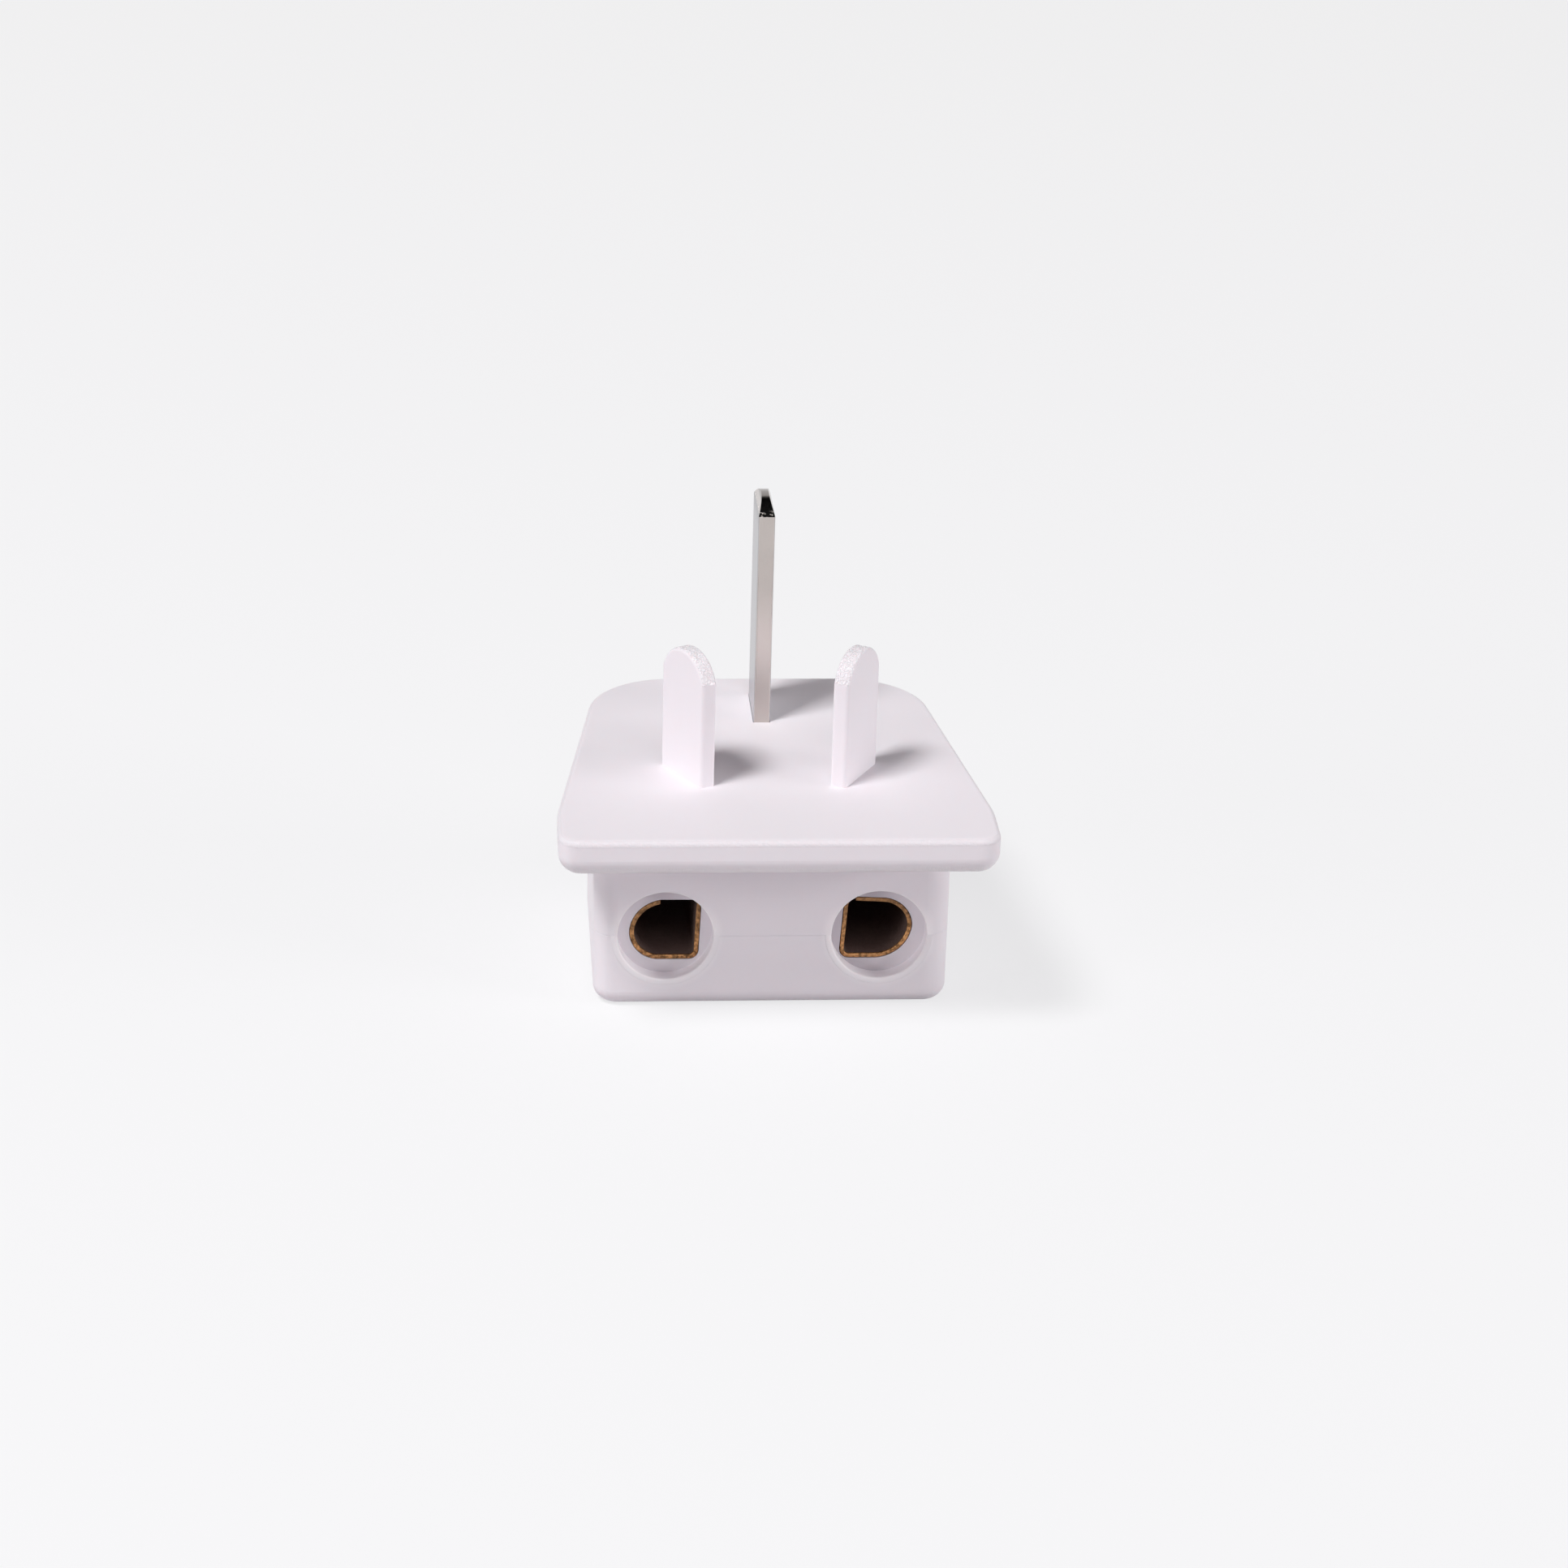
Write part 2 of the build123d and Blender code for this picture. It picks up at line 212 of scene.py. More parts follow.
class PlasticSettings(bpy.types.PropertyGroup):
    """White moulded plastic."""

    color: FloatVectorProperty(
        name="Colour",
        description="Colour of the plastic",
        default=(0.88, 0.835, 0.875),
        subtype="COLOR",
    )
    roughness: FloatProperty(
        name="Roughness",
        description="Satin of the mould's surface",
        default=0.42,
        subtype="FACTOR",
    )
    grain: FloatProperty(
        name="Grain",
        description="Size of the mould's fine grain",
        default=0.12 * MM,
        unit="LENGTH",
        precision=5,
    )
    cloud: FloatProperty(
        name="Cloud",
        description="Size of the faint clouds in the plastic",
        default=6.0 * MM,
        unit="LENGTH",
        precision=5,
    )
    glow: FloatProperty(
        name="Glow",
        description="How much light travels inside the plastic",
        default=0.1,
        subtype="FACTOR",
    )
    glow_depth: FloatProperty(
        name="Glow depth",
        description="How far light travels inside the plastic",
        default=0.6 * MM,
        unit="LENGTH",
        precision=5,
    )
    frost: FloatProperty(
        name="Frost",
        description="Size of the sparkling crystals on the prongs' ends and the plate's edge",
        default=0.2 * MM,
        unit="LENGTH",
        precision=5,
    )
    # Painted highlight: the paler colour given to the prongs' rounded ends stands in for the
    # sparkle of light on them.
    tip_highlight_color: FloatVectorProperty(
        name="Frost colour",
        description="Colour of the frosted ends of the prongs",
        default=(0.97, 0.925, 0.96),
        subtype="COLOR",
    )
    plate_top: FloatProperty(
        name="Plate top",
        description="Height of the face that meets the outlet",
        default=18.1 * MM,
        unit="LENGTH",
        precision=5,
    )
    # Painted light: the plate's lower rounding is given a paler colour for the light it catches
    # from below.
    underside_light_color: FloatVectorProperty(
        name="Underside colour",
        description="Paler plastic of the plate's lower rounding",
        default=(1.0, 0.965, 0.985),
        subtype="COLOR",
    )
    socket_place: FloatVectorProperty(
        name="Socket place",
        description="Middle of a socket, sideways and in height",
        default=(8.83 * MM, 6.5 * MM),
        size=2,
        unit="LENGTH",
        precision=5,
    )
    recess_radius: FloatProperty(
        name="Recess radius",
        description="Radius of a recess",
        default=3.95 * MM,
        unit="LENGTH",
        precision=5,
    )
    recess_back: FloatProperty(
        name="Recess back",
        description="From the plate's front to the floors of the recesses",
        default=8.2 * MM,
        unit="LENGTH",
        precision=5,
    )
    recess_depth: FloatProperty(
        name="Recess depth",
        description="Depth of a recess",
        default=1.4 * MM,
        unit="LENGTH",
        precision=5,
    )
    # Painted shade: strength of the darkening painted on the recesses' floors.
    recess_shade: FloatProperty(
        name="Recess shade",
        description="Greyness of the recesses' floors",
        default=0.55,
        subtype="FACTOR",
    )
    # Colour of the painted shade on the recesses' floors.
    recess_shade_color: FloatVectorProperty(
        name="Recess colour",
        description="Colour of the shaded floors",
        default=(0.36, 0.32, 0.36),
        subtype="COLOR",
    )
    lip_round: FloatProperty(
        name="Lip round",
        description="Rounding of the recesses' lower lips",
        default=0.12 * MM,
        unit="LENGTH",
        precision=5,
    )
    lip_width: FloatProperty(
        name="Lip width",
        description="Width of a lower lip before its rounding",
        default=0.49 * MM,
        unit="LENGTH",
        precision=5,
    )
    # Painted light: a paler colour painted on the plastic round each recess, except at its top.
    rim_light_reach: FloatProperty(
        name="Rim reach",
        description="How far the paler plastic spreads round a recess",
        default=1.0 * MM,
        unit="LENGTH",
        precision=5,
    )
    rim_light_strength: FloatProperty(
        name="Rim strength",
        description="How much paler the plastic is round a recess",
        default=0.68,
        subtype="FACTOR",
    )
    rim_color: FloatVectorProperty(
        name="Rim colour",
        description="Colour of the paler plastic round a recess",
        default=(1.0, 0.955, 0.975),
        subtype="COLOR",
    )
    seam_width: FloatProperty(
        name="Seam width",
        description="Width of the weld line between the shells",
        default=0.07 * MM,
        unit="LENGTH",
        precision=5,
    )
    seam_height: FloatProperty(
        name="Seam height",
        description="Height of the weld line, under the tongue of the lower shell",
        default=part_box("base_shell")[1][2] - 0.8 * MM,
        unit="LENGTH",
        precision=5,
    )
    seam_start: FloatProperty(
        name="Seam start",
        description="From the middle to where the weld line starts, outside the sockets",
        default=12.3 * MM,
        unit="LENGTH",
        precision=5,
    )
    prong_place: FloatVectorProperty(
        name="Prong place",
        description="Middle of a prong, sideways and forwards",
        default=(6.86 * MM, -3.96 * MM),
        size=2,
        unit="LENGTH",
        precision=5,
    )
    prong_slant: FloatProperty(
        name="Prong slant",
        description="Turn of each prong",
        default=math.radians(30.0),
        unit="ROTATION",
    )
    tip_height: FloatProperty(
        name="Tip height",
        description="Height at which the prongs' rounded ends start",
        default=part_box("face_shell")[1][2] - 2.25 * MM,
        unit="LENGTH",
        precision=5,
    )


class NickelSettings(bpy.types.PropertyGroup):
    """Matt nickel plate."""

    color: FloatVectorProperty(
        name="Colour",
        description="Colour of the nickel",
        default=(0.60, 0.55, 0.52),
        subtype="COLOR",
    )
    # Painted reflection: the broad faces get their own cooler colour for the pale light they
    # mirror.
    broad_reflection_color: FloatVectorProperty(
        name="Broad faces",
        description="Colour of the blade's broad faces",
        default=(0.47, 0.47, 0.49),
        subtype="COLOR",
    )
    roughness: FloatProperty(
        name="Roughness",
        description="Matt finish of the plate",
        default=0.3,
        subtype="FACTOR",
    )
    tip_roughness: FloatProperty(
        name="Tip roughness",
        description="Bright finish of the pressed end",
        default=0.12,
        subtype="FACTOR",
    )
    tip_rise: FloatProperty(
        name="Tip rise",
        description="Height of the rounded end",
        default=1.15 * MM,
        unit="LENGTH",
        precision=5,
    )
    # Painted reflection: the blade is painted paler low in its middle for the bright plate it
    # mirrors; these give where that band lies.
    reflection_depth: FloatProperty(
        name="Rubbed depth",
        description="From the rounded end down to the middle of the part rubbed pale in outlets",
        default=11.3 * MM,
        unit="LENGTH",
        precision=5,
    )
    reflection_reach: FloatProperty(
        name="Rubbed reach",
        description="How far the rubbed part reaches up and down from its middle",
        default=6.0 * MM,
        unit="LENGTH",
        precision=5,
    )


class BrassSettings(bpy.types.PropertyGroup):
    """Rolled brass sheet, darkened with age."""

    color: FloatVectorProperty(
        name="Colour",
        description="Colour of the cut edge",
        default=(0.38, 0.19, 0.08),
        subtype="COLOR",
    )
    # Colour that the cut edge darkens to towards the top.
    bronze: FloatVectorProperty(
        name="Bronze",
        description="Colour of the cut edge's darker parts",
        default=(0.10, 0.06, 0.035),
        subtype="COLOR",
    )
    patina: FloatVectorProperty(
        name="Patina",
        description="Colour of the darkened faces",
        default=(0.17, 0.115, 0.10),
        subtype="COLOR",
    )
    roughness: FloatProperty(
        name="Roughness",
        description="Roughness of the cut edge",
        default=0.45,
        subtype="FACTOR",
    )
    mottle: FloatProperty(
        name="Mottle",
        description="Size of the spots on the cut edge",
        default=0.3 * MM,
        unit="LENGTH",
        precision=5,
    )
    edge_depth: FloatProperty(
        name="Edge depth",
        description="How far back from the rim the metal of the cut edge shows",
        default=0.12 * MM,
        unit="LENGTH",
        precision=5,
    )
    # Heights between which the cut edge gets darker towards the top.
    darkening_heights: FloatVectorProperty(
        name="Bronze heights",
        description="Heights between which the cut edge darkens to bronze",
        default=(5.0 * MM, 9.5 * MM),
        size=2,
        unit="LENGTH",
        precision=5,
    )
    rim_round: FloatProperty(
        name="Rim round",
        description="Rounding of the front rim's edges",
        default=0.1 * MM,
        unit="LENGTH",
        precision=5,
    )


# Shader nodes written as expressions


class Value:
    """A node's output that takes part in arithmetic."""

    def __init__(self, nodes, socket):
        self.nodes = nodes
        self.socket = socket

    def _math(self, operation, first, second):
        return self.nodes.add("ShaderNodeMath", {"operation": operation}, {0: first, 1: second})

    def __add__(self, other):
        return self._math("ADD", self, other)

    def __radd__(self, other):
        return self._math("ADD", other, self)

    def __sub__(self, other):
        return self._math("SUBTRACT", self, other)

    def __rsub__(self, other):
        return self._math("SUBTRACT", other, self)

    def __mul__(self, other):
        return self._math("MULTIPLY", self, other)

    def __rmul__(self, other):
        return self._math("MULTIPLY", other, self)


class Nodes:
    """The node tree of a material or a world, empty at first."""

    def __init__(self, owner):
        owner.use_nodes = True
        self.tree = owner.node_tree
        self.tree.nodes.clear()

    def add(self, kind, settings=None, inputs=None, output=0):
        """Adds a node, its settings first, and gives one of its outputs."""
        node = self.tree.nodes.new(kind)
        for name, value in (settings or {}).items():
            setattr(node, name, value)
        for name, value in (inputs or {}).items():
            if isinstance(value, Value):
                self.tree.links.new(value.socket, node.inputs[name])
            else:
                node.inputs[name].default_value = value
        if not node.outputs:
            return node
        return Value(self, node.outputs[output])

    def position(self):
        """Place on the object, in metres."""
        return self.add("ShaderNodeTexCoord", output="Object")

    def axis(self, vector, name):
        """One coordinate of a vector."""
        return self.add("ShaderNodeSeparateXYZ", inputs={"Vector": vector}, output=name)

    def absolute(self, value):
        """A value without its sign."""
        return self.add("ShaderNodeMath", {"operation": "ABSOLUTE"}, {0: value})

    def noise(self, vector, size, stretch=(1.0, 1.0, 1.0), detail=2.0, roughness=0.5):
        """Noise whose lumps are about the given size, in metres, from 0 to 1."""
        scaled = self.add(
            "ShaderNodeMapping",
            {"vector_type": "POINT"},
            {"Vector": vector, "Scale": tuple(s / size for s in stretch)},
        )
        return self.add(
            "ShaderNodeTexNoise",
            {"noise_dimensions": "3D"},
            {"Vector": scaled, "Scale": 1.0, "Detail": detail, "Roughness": roughness},
        )

    def smooth(self, value, low, high):
        """0 below low, 1 above high, with a soft step between them."""
        return self.add(
            "ShaderNodeMapRange",
            {"interpolation_type": "SMOOTHSTEP"},
            {"Value": value, "From Min": low, "From Max": high, "To Min": 0.0, "To Max": 1.0},
        )

    def fade(self, value, low, high):
        """1 below low, 0 above high, with a soft step between them."""
        return 1.0 - self.smooth(value, low, high)

    def band(self, value, rise, fall):
        """1 between a rise and a fall, each a soft step with its own start and end."""
        return self.smooth(value, *rise) * self.fade(value, *fall)

    def layered(self, color, *layers):
        """Lays colours over a first one, each with its mask and its strength."""
        for mask, strength, over in layers:
            color = self.add(
                "ShaderNodeMix",
                {"data_type": "RGBA"},
                {"Factor": mask * strength, 6: color, 7: over},
                output=2,
            )
        return color

    def bump(self, height, strength, distance, normal=None):
        """A bump of that height, in metres, on the surface or on another bump."""
        inputs = {"Height": height, "Strength": strength, "Distance": distance}
        if normal is not None:
            inputs["Normal"] = normal
        return self.add("ShaderNodeBump", inputs=inputs)

    def seen(self):
        """1 where the camera, a reflection or a glass looks, 0 for the light on things."""
        path = self.tree.nodes.new("ShaderNodeLightPath")
        camera, glossy, through = (
            Value(self, path.outputs[name])
            for name in ("Is Camera Ray", "Is Glossy Ray", "Is Transmission Ray")
        )
        return camera + glossy + through

    def end(self, shader, kind="ShaderNodeOutputMaterial"):
        """Ends the tree in that shader."""
        self.add(kind, inputs={"Surface": shader})


def shade(color, factor=1.0):
    """A colour made darker or lighter, with full alpha."""
    return (*(channel * factor for channel in color), 1.0)


def new_material(name):
    """An empty material with its nodes."""
    material = bpy.data.materials.new(name)
    return material, Nodes(material)


# The finishes


def prong_tips(nodes, place, height, settings):
    """1 on the sparkling rounded ends of the prongs, 0 elsewhere."""
    half_flat = 0.6 * MM
    aside = nodes.absolute(nodes.axis(place, "X")) - settings.prong_place[0]
    behind = nodes.axis(place, "Y") - settings.prong_place[1]
    slant = settings.prong_slant
    off_middle = nodes.absolute(aside * math.cos(slant) - behind * math.sin(slant))
    on_edge = nodes.fade(off_middle, half_flat, half_flat + 0.1 * MM)
    return on_edge * nodes.smooth(height, settings.tip_height, settings.tip_height + 0.1 * MM)


def recess_marks(nodes, place, height, settings):
    """Masks of the round recesses: painted shade on their floors, darker on the left and in the
    right recess, a painted highlight along the burr of their upper edges and painted light round
    them, except at the top."""
    sideways = nodes.axis(place, "X")
    side = nodes.add("ShaderNodeMath", {"operation": "SIGN"}, {0: sideways})
    aside = nodes.absolute(sideways) - settings.socket_place[0]
    up = height - settings.socket_place[1]
    square = aside * aside + up * up
    behind = nodes.axis(place, "Y")
    radius = settings.recess_radius
    back = PLATE_FRONT + settings.recess_back
    front = back - settings.recess_depth
    burr_radius = radius + 0.05 * MM
    burr_width = 0.07 * MM

    # Painted shade on the recesses' floors, darker on the left, where the left wall shades them,
    # and in the right recess.
    depth = nodes.band(
        behind, (back - 0.15 * MM, back - 0.02 * MM), (back + 1.0 * MM, back + 2.0 * MM)
    )
    inside = nodes.fade(square, radius**2, radius**2 * 1.05)
    unlit = nodes.fade(aside * side, -4.0 * MM, 2.5 * MM)
    floors = depth * inside * unlit * (0.55 + 0.45 * side)

    # Painted highlight: a thin white line along the burr of each recess's upper edge.
    on_front = nodes.fade(behind, front + 0.05 * MM, front + 0.2 * MM)
    off_burr = nodes.absolute(square - burr_radius**2)
    burr_highlight = nodes.fade(off_burr, 0.0, 2 * radius * burr_width)
    burr_highlight = burr_highlight * on_front * nodes.smooth(up, 0.0, 0.5 * MM)
    # Painted light: paler plastic painted round each recess, fading out towards its top.
    rim = nodes.fade(square, radius**2, (radius + settings.rim_light_reach) ** 2)
    rim = rim * on_front * nodes.fade(up, 1.0 * MM, 3.5 * MM)
    return floors, burr_highlight, rim


def white_plastic(settings):
    """Satin white plastic with the grain of its mould, frosted prong ends and plate edges and a
    weld line outside the recesses, with painted highlights on the prong ends and the recesses'
    upper burrs, painted shade on the plate's top edge and the recesses' floors, and painted
    light on the plate's lower rounding and round the recesses."""
    material, nodes = new_material("white_plastic")
    place = nodes.position()
    height = nodes.axis(place, "Z")
    grain = nodes.noise(place, settings.grain, detail=3.0, roughness=0.6)
    cloud = nodes.noise(place, settings.cloud, detail=1.0)
    crystals = nodes.smooth(nodes.noise(place, settings.frost, roughness=0.6), 0.4, 0.6)

    outside = nodes.smooth(
        nodes.absolute(nodes.axis(place, "X")),
        settings.seam_start,
        settings.seam_start + 0.7 * MM,
    )
    off_seam = nodes.absolute(height - settings.seam_height)
    seam = outside * nodes.fade(off_seam, settings.seam_width / 4, settings.seam_width / 2)

    # Bands of the plate's edge, by how far they are below its top
    below = settings.plate_top - height
    edge = nodes.band(below, (0.01 * MM, 0.06 * MM), (0.4 * MM, 0.6 * MM))
    low_edge = nodes.band(below, (2.2 * MM, 2.5 * MM), (2.9 * MM, 3.2 * MM))
    underside = nodes.band(below, (2.0 * MM, 3.0 * MM), (3.3 * MM, 3.4 * MM))

    tips = prong_tips(nodes, place, height, settings)
    frost = tips + 0.25 * edge + 0.2 * low_edge
    floors, burr_highlight, rim = recess_marks(nodes, place, height, settings)
    color = nodes.layered(
        shade(settings.color),
        (cloud, 0.5, shade(settings.color, 0.97)),
        (seam, 0.06, shade(settings.color, 0.6)),
        (frost * (1.0 - crystals), 0.1, shade(settings.color, 0.7)),
        # Painted highlight: paler colour on the prongs' rounded ends.
        (tips, 0.5, shade(settings.tip_highlight_color)),
        # Painted shade: the band along the plate's top edge is darkened to dim its highlight.
        (edge, 0.35, shade(settings.color, 0.75)),
        # Painted light on the plate's lower rounding.
        (underside, 0.8, shade(settings.underside_light_color)),
        # Painted shade on the recesses' floors.
        (floors, settings.recess_shade, shade(settings.recess_shade_color)),
        # Painted highlight along the burrs of the recesses' upper edges.
        (burr_highlight, 0.8, shade(WHITE)),
        # Painted light round the recesses.
        (rim, settings.rim_light_strength, shade(settings.rim_color)),
    )
    normal = nodes.bump(grain, 0.25, 0.012 * MM)
    normal = nodes.bump(cloud, 0.4, 0.05 * MM, normal)
    normal = nodes.bump(crystals * frost, 1.0, 0.05 * MM, normal)
    roughness = settings.roughness + 0.12 * (grain - 0.5) - 0.2 * frost + 0.15 * edge
    shader = nodes.add(
        "ShaderNodeBsdfPrincipled",
        inputs={
            "Base Color": color,
            "Roughness": roughness,
            "Normal": normal,
            "Subsurface Weight": settings.glow,
            "Subsurface Radius": (1.0, 0.45, 0.4),
            "Subsurface Scale": settings.glow_depth,
            "IOR": 1.49,
            "Specular IOR Level": 0.35,
        },
    )
    nodes.end(shader)
    return material


def nickel(settings, tip_height):
    """Matt nickel with fine lines along the blade, a paler band low in its middle painted as the
    reflection of the plate, broad faces painted in the colour they mirror, and a bright pressed
    end with a few dents and a painted dark reflection on its cap and near the end."""
    material, nodes = new_material("nickel")
    place = nodes.position()
    height = nodes.axis(place, "Z")
    lines = nodes.noise(place, 0.5 * MM, stretch=(14.0, 14.0, 0.5), detail=3.0)
    cloud = nodes.noise(place, 2.5 * MM)
    spots = nodes.smooth(nodes.noise(place, 0.25 * MM, roughness=0.6), 0.6, 0.66)

    tip = nodes.smooth(height, tip_height, tip_height + 0.05 * MM)
    dents = spots * tip * nodes.fade(height, tip_height + 0.25 * MM, tip_height + 0.45 * MM)
    # Painted reflection: the cap and the broad faces near the end are darkened where they mirror
    # the dark surroundings above.
    near_tip = nodes.smooth(height, tip_height - 1.5 * MM, tip_height + 1.0 * MM)
    cap = nodes.smooth(height, tip_height + 0.7 * MM, tip_height + 1.0 * MM)
    # Painted reflection: a paler band low on the blade, where it mirrors the plate.
    off_plate_reflection = nodes.absolute(height - (tip_height - settings.reflection_depth))
    plate_reflection = nodes.fade(off_plate_reflection, 0.0, settings.reflection_reach)
    broad = nodes.smooth(nodes.absolute(nodes.axis(place, "X")), 0.62 * MM, 0.68 * MM)

    color = nodes.layered(
        shade(settings.color),
        (cloud, 1.0, shade(settings.color, 0.88)),
        # Painted reflection of the plate.
        (plate_reflection, 1.0, shade(settings.color, 1.18)),
        # Painted reflection: the broad faces' own colour.
        (broad, 0.9, shade(settings.broad_reflection_color)),
        # Painted dark reflection on the cap and near the end.
        (near_tip * broad * 0.6 + cap * 0.8, 1.0, shade(settings.color, 0.3)),
    )
    normal = nodes.bump(lines, 0.3, 0.01 * MM)
    normal = nodes.bump(dents, 1.0, 0.08 * MM, normal)
    matt = settings.roughness + 0.12 * (lines - 0.5)
    shader = nodes.add(
        "ShaderNodeBsdfPrincipled",
        inputs={
            "Base Color": color,
            "Metallic": 1.0,
            "Roughness": matt * (1.0 - tip) + settings.tip_roughness * tip,
            "Normal": normal,
        },
    )
    nodes.end(shader)
    return material


def brass(settings, name, rim_y):
    """Brass sheet: mottled metal on the cut front edge, darker higher up, and brown patina
    behind it."""
    material, nodes = new_material(name)
    place = nodes.position()
    patina_start = rim_y + settings.edge_depth
    behind = nodes.smooth(nodes.axis(place, "Y"), patina_start, patina_start + 0.13 * MM)
    # Darker towards the top.
    high = nodes.smooth(nodes.axis(place, "Z"), *settings.darkening_heights)
    spots = nodes.noise(place, settings.mottle, detail=3.0, roughness=0.65)
    mottle = nodes.smooth(spots, 0.3, 0.7)
    color = nodes.layered(
        shade(settings.color, 1.5),
        (mottle, 1.0, shade(settings.color, 0.35)),
        (high, 0.55, shade(settings.bronze)),
        (behind, 1.0, shade(settings.patina)),
    )
    shader = nodes.add(
        "ShaderNodeBsdfPrincipled",
        inputs={
            "Base Color": color,
            "Metallic": 0.9 - 0.6 * behind,
            "Roughness": settings.roughness + 0.2 * (mottle - 0.5),
            "Normal": nodes.bump(mottle, 0.5, 0.03 * MM),
        },
    )
    nodes.end(shader)
    return material


# The pieces


def dress(node_name, material):
    """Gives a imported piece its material."""
    slots = NODES[node_name].data.materials
    slots.clear()
    slots.append(material)


def soften(shape, crease):
    """Smooth shading, except across edges that fold by more than the crease angle."""
    for face in shape.faces:
        face.smooth = True
    for edge in shape.edges:
        edge.smooth = edge.calc_face_angle(0.0) < crease


def add_object(name, shape, material):
    """Makes a finished shape an object of the scene."""
    mesh = bpy.data.meshes.new(name)
    shape.to_mesh(mesh)
    shape.free()
    mesh.materials.append(material)
    piece = bpy.data.objects.new(name, mesh)
    bpy.context.scene.collection.objects.link(piece)
    return piece


def make_lip(name, side, settings):
    """The half ring of plastic that makes a recess's lower lip crisp: its section is turned
    about the recess's axis."""
    middle = Vector((side * settings.socket_place[0], 0.0, settings.socket_place[1]))
    radius = settings.recess_radius
    rounding = settings.lip_round
    corner = rounding * 0.3
    front = PLATE_FRONT + settings.recess_back - settings.recess_depth
    back = front + settings.lip_width
    section = (
        (radius, back),
        (radius, front + rounding),
        (radius + corner, front + corner),
        (radius + rounding, front),
        (radius + settings.lip_width, front),
        (radius + settings.lip_width, back),
    )
    shape = bmesh.new()
    corners = [shape.verts.new(middle + Vector((reach, y, 0.0))) for reach, y in section]
    start = shape.faces.new(corners)
    bmesh.ops.spin(
        shape,
        geom=[start],
        cent=middle,
        axis=(0.0, 1.0, 0.0),
        angle=math.pi,
        steps=48,
        use_duplicate=False,
    )
    bmesh.ops.recalc_face_normals(shape, faces=shape.faces)
    soften(shape, math.radians(50))
    piece = add_object(name, shape, NODES["base_shell"].data.materials[0])
    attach(piece, "root")


def round_rim(name, settings, material):
    """Builds a packed sleeve again with the edges of its front rim rounded over, as rolled
    sheet has them."""
    hair = 0.001 * MM
    flat = math.radians(1)
    sharp = math.radians(60)
    shape = bmesh.new()
    shape.from_mesh(NODES[name].data)
    bmesh.ops.remove_doubles(shape, verts=shape.verts, dist=hair)
    bmesh.ops.dissolve_limit(shape, angle_limit=flat, verts=shape.verts, edges=shape.edges)
    front = min(vert.co.y for vert in shape.verts) + hair
    rim = [
        edge
        for edge in shape.edges
        if all(vert.co.y < front for vert in edge.verts) and edge.calc_face_angle(0.0) > sharp
    ]
    bmesh.ops.bevel(
        shape,
        geom=rim,
        offset=settings.rim_round,
        segments=3,
        profile=0.5,
        affect="EDGES",
        clamp_overlap=True,
        material=-1,
    )
    soften(shape, math.radians(35))
    piece = add_object(f"{name}_rolled", shape, material)
    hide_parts(name)
    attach(piece, "root")


# The stage


def make_sheet(name, width, depth, place, material):
    """A flat level sheet of the stage."""
    shape = bmesh.new()
    bmesh.ops.create_grid(shape, x_segments=1, y_segments=1, size=0.5)
    bmesh.ops.scale(shape, vec=(width, depth, 1.0), verts=shape.verts)
    bmesh.ops.translate(shape, vec=place, verts=shape.verts)
    add_object(name, shape, material)


def make_floor(settings):
    """A wide pale floor that shows the camera a softened shadow."""
    material, nodes = new_material("floor")
    behind = nodes.smooth(nodes.axis(nodes.position(), "Y"), 0.0, settings.floor_fade)
    color = nodes.layered(shade(settings.floor_color), (behind, 1.0, shade(WHITE)))
    shaded = nodes.add("ShaderNodeBsdfDiffuse", inputs={"Color": color})
    plain = nodes.add("ShaderNodeEmission", inputs={"Color": color, "Strength": 1.0})
    looked_at = nodes.add(
        "ShaderNodeMixShader", inputs={0: settings.floor_shade, 1: plain, 2: shaded}
    )
    bounced = nodes.add("ShaderNodeBsdfDiffuse", inputs={"Color": shade(settings.floor_bounce)})
    nodes.end(
        nodes.add("ShaderNodeMixShader", inputs={0: nodes.seen(), 1: bounced, 2: looked_at})
    )
    make_sheet("floor", settings.floor_size, settings.floor_size, (0.0, 0.0, 0.0), material)


def make_card(settings):
    """A black card high above, which gives the blade's bright end something dark to mirror."""
    material, nodes = new_material("black_card")
    nodes.end(nodes.add("ShaderNodeBsdfDiffuse", inputs={"Color": shade(settings.card_color)}))
    make_sheet("card", settings.card_width, settings.card_depth, settings.card_place, material)


def make_world(scene, settings):
    """Dim even surroundings, pale to the camera and in reflections."""
    world = bpy.data.worlds.new("surroundings")
    scene.world = world
    nodes = Nodes(world)
    dim, pale = (
        nodes.add("ShaderNodeBackground", inputs={"Color": shade(color), "Strength": 1.0})
        for color in (settings.sky, settings.floor_color)
    )
    both = nodes.add("ShaderNodeMixShader", inputs={0: nodes.seen(), 1: dim, 2: pale})
    nodes.end(both, "ShaderNodeOutputWorld")


def make_lamp(name, place, size, power):
    """A soft lamp of that width and height that faces the adapter."""
    data = bpy.data.lights.new(name, "AREA")
    data.shape = "RECTANGLE"
    data.size, data.size_y = size
    data.energy = power
    lamp = bpy.data.objects.new(name, data)
    lamp.location = place
    lamp.rotation_mode = "QUATERNION"
    lamp.rotation_quaternion = (-Vector(place)).to_track_quat("-Z", "Y")
    bpy.context.scene.collection.objects.link(lamp)


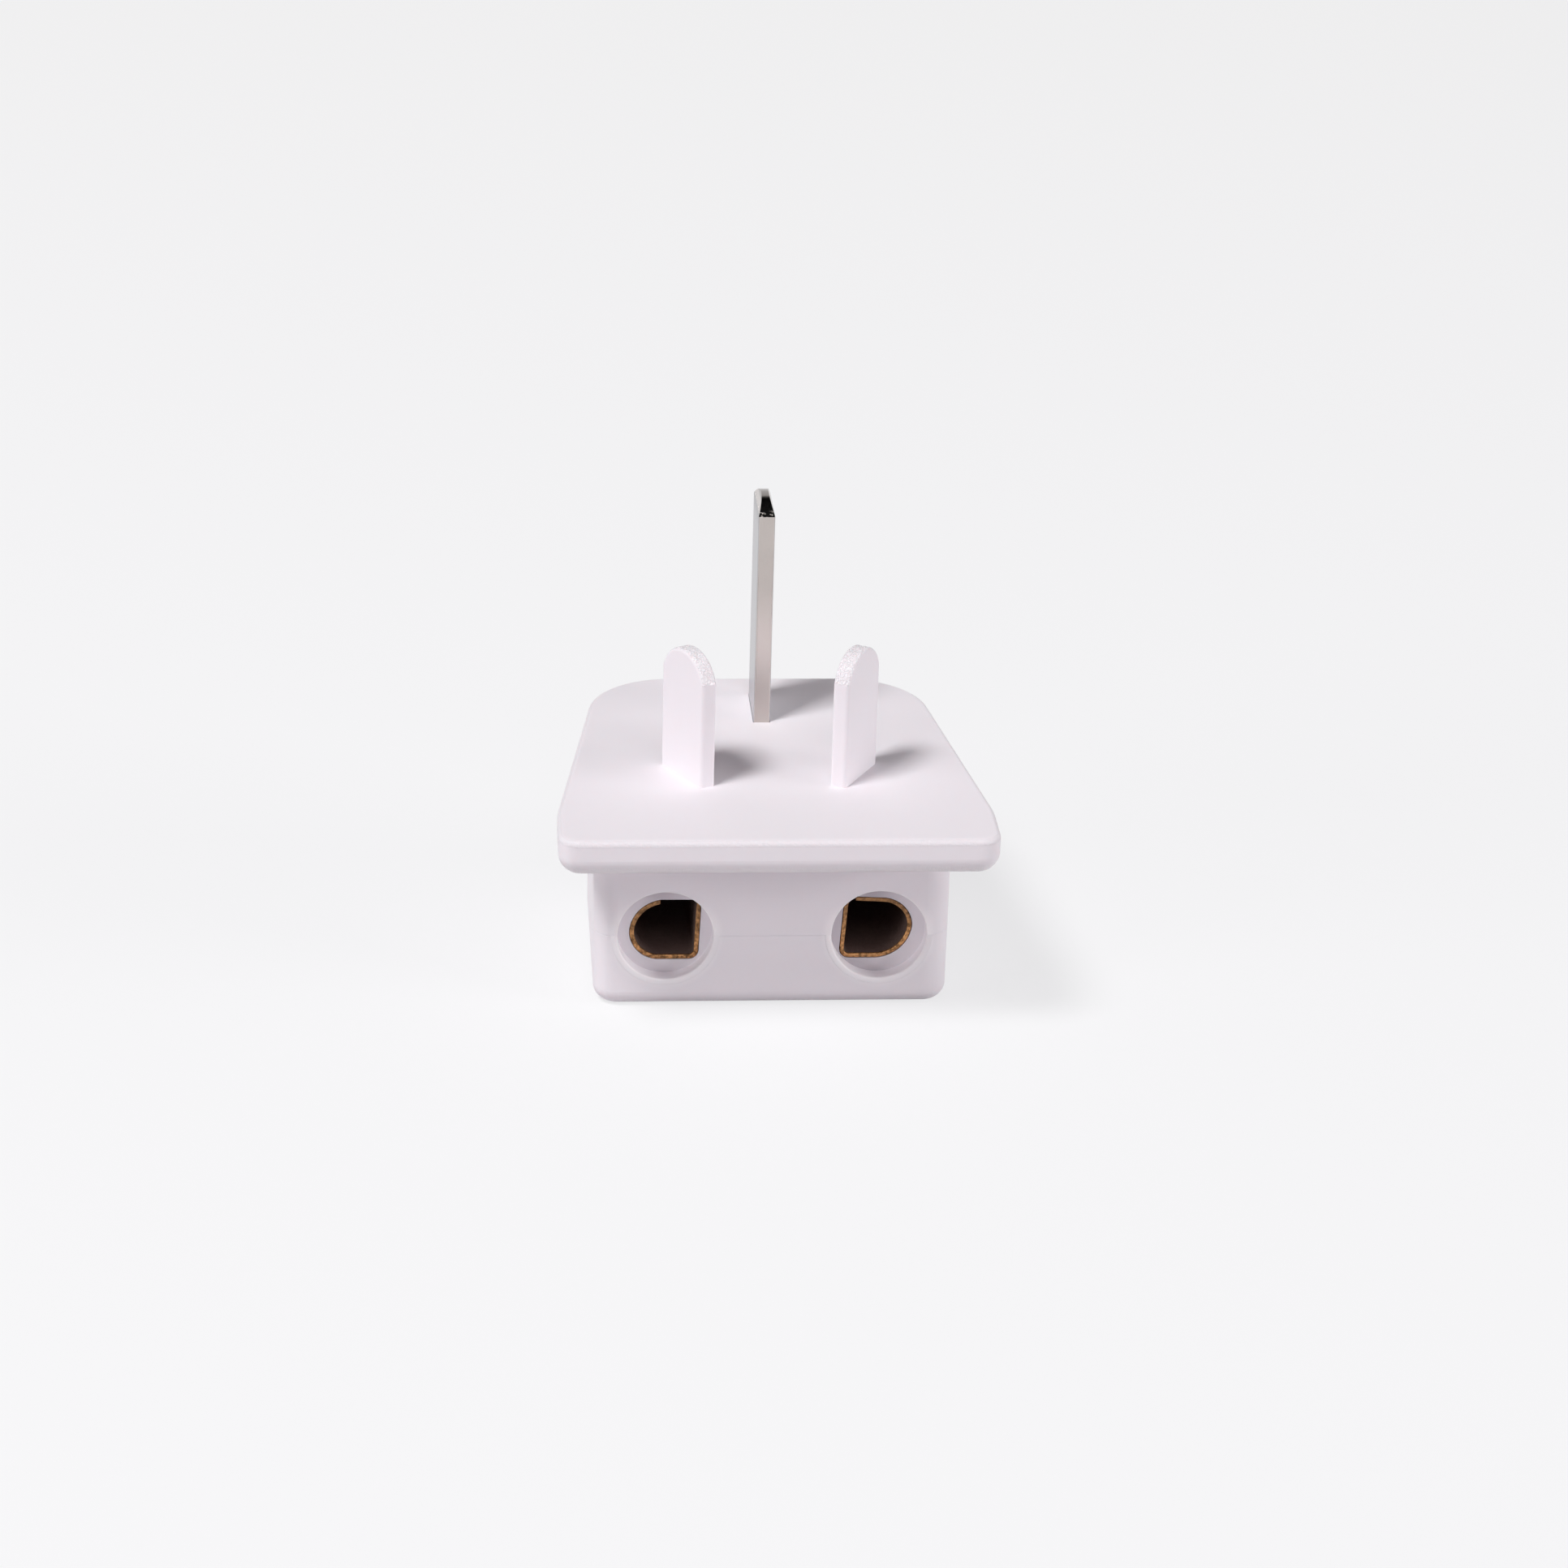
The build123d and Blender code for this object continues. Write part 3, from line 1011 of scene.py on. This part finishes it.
def make_lamps(settings):
    """The key from above on the left and front, a low wide lamp on each side and a weak one
    in front."""
    make_lamp("key_lamp", (-0.40, -0.30, 0.866), (0.25, 0.25), settings.key_power)
    make_lamp("left_lamp", (-0.87, -0.42, 0.20), (0.4, 0.3), settings.left_power)
    make_lamp("right_lamp", (0.90, -0.31, 0.20), (0.4, 0.3), settings.right_power)
    make_lamp("front_lamp", (0.1, -0.70, 0.70), (0.6, 0.3), settings.front_power)


def make_camera(scene, settings):
    """The camera at the viewing angle of the product picture."""
    ahead = Vector(
        (
            math.sin(settings.turn) * math.cos(settings.height_angle),
            math.cos(settings.turn) * math.cos(settings.height_angle),
            -math.sin(settings.height_angle),
        )
    )
    level = Vector((math.cos(settings.turn), -math.sin(settings.turn), 0.0))
    upright = level.cross(ahead)
    right = math.cos(settings.roll) * level + math.sin(settings.roll) * upright
    up = right.cross(ahead)
    data = bpy.data.cameras.new("camera")
    data.lens = settings.lens
    data.sensor_width = settings.sensor
    camera = bpy.data.objects.new("camera", data)
    place = Vector(settings.target) - settings.distance * ahead
    turned = Matrix((right, up, -ahead)).transposed()
    camera.matrix_world = Matrix.Translation(place) @ turned.to_4x4()
    scene.collection.objects.link(camera)
    scene.camera = camera


# The operators, one for each group of pieces and one for the stage


class ADAPTER_OT_shells(bpy.types.Operator):
    """Finishes both plastic shells"""

    bl_idname = "adapter.shells"
    bl_label = "Shells"

    def execute(self, context):
        material = white_plastic(context.scene.adapter_plastic)
        for name in ("face_shell", "base_shell"):
            dress(name, material)
        return {"FINISHED"}


class ADAPTER_OT_lips(bpy.types.Operator):
    """Builds the crisp lower lips of both recesses"""

    bl_idname = "adapter.lips"
    bl_label = "Recess lips"

    def execute(self, context):
        settings = context.scene.adapter_plastic
        for name, side in (("left_recess_lip", -1), ("right_recess_lip", 1)):
            make_lip(name, side, settings)
        return {"FINISHED"}


class ADAPTER_OT_earth_pin(bpy.types.Operator):
    """Finishes the earth pin"""

    bl_idname = "adapter.earth_pin"
    bl_label = "Earth pin"

    def execute(self, context):
        settings = context.scene.adapter_nickel
        tip_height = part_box("earth_pin")[1][2] - settings.tip_rise
        dress("earth_pin", nickel(settings, tip_height))
        return {"FINISHED"}


class ADAPTER_OT_sleeves(bpy.types.Operator):
    """Builds both contact sleeves with their rims rounded over"""

    bl_idname = "adapter.sleeves"
    bl_label = "Sleeves"

    def execute(self, context):
        settings = context.scene.adapter_brass
        for name in ("left_contact_sleeve", "right_contact_sleeve"):
            material = brass(settings, name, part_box(name)[0][1])
            round_rim(name, settings, material)
        return {"FINISHED"}


class ADAPTER_OT_strip(bpy.types.Operator):
    """Finishes the bonding strip and its rivets"""

    bl_idname = "adapter.strip"
    bl_label = "Strip and rivets"

    def execute(self, context):
        settings = context.scene.adapter_brass
        ahead_of_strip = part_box("bonding_strip")[0][1] - 1.0 * MM
        material = brass(settings, "dull_brass", ahead_of_strip)
        for name in ("bonding_strip", "left_rivet", "right_rivet"):
            dress(name, material)
        return {"FINISHED"}


class ADAPTER_OT_stage(bpy.types.Operator):
    """Makes the floor, the card, the surroundings, the lamps and the camera"""

    bl_idname = "adapter.stage"
    bl_label = "Stage"

    def execute(self, context):
        settings = context.scene.adapter_stage
        make_floor(settings)
        make_card(settings)
        make_world(context.scene, settings)
        make_lamps(settings)
        make_camera(context.scene, settings)
        context.scene.view_settings.view_transform = "Standard"
        return {"FINISHED"}


class ADAPTER_PT_panel(bpy.types.Panel):
    """Lists the adapter's steps and settings"""

    bl_idname = "ADAPTER_PT_panel"
    bl_label = "Earthing adapter"
    bl_space_type = "VIEW_3D"
    bl_region_type = "UI"
    bl_category = "Adapter"

    def draw(self, context):
        for name, (group, operators) in STEPS.items():
            box = self.layout.box()
            for operator in operators:
                box.operator(operator.bl_idname)
            settings = getattr(context.scene, name)
            for key in group.__annotations__:
                box.prop(settings, key)


STEPS = {
    "adapter_plastic": (PlasticSettings, (ADAPTER_OT_shells, ADAPTER_OT_lips)),
    "adapter_nickel": (NickelSettings, (ADAPTER_OT_earth_pin,)),
    "adapter_brass": (BrassSettings, (ADAPTER_OT_sleeves, ADAPTER_OT_strip)),
    "adapter_stage": (StageSettings, (ADAPTER_OT_stage,)),
}
CLASSES = [item for group, operators in STEPS.values() for item in (group, *operators)]
CLASSES.append(ADAPTER_PT_panel)


def register():
    for item in CLASSES:
        bpy.utils.register_class(item)
    for name, (group, _) in STEPS.items():
        setattr(bpy.types.Scene, name, PointerProperty(type=group))


def unregister():
    for name in STEPS:
        delattr(bpy.types.Scene, name)
    for item in reversed(CLASSES):
        bpy.utils.unregister_class(item)


def main():
    """Makes every piece and the stage."""
    register()
    bpy.ops.adapter.shells()
    bpy.ops.adapter.lips()
    bpy.ops.adapter.earth_pin()
    bpy.ops.adapter.sleeves()
    bpy.ops.adapter.strip()
    bpy.ops.adapter.stage()


if __name__ == "__main__":
    main()
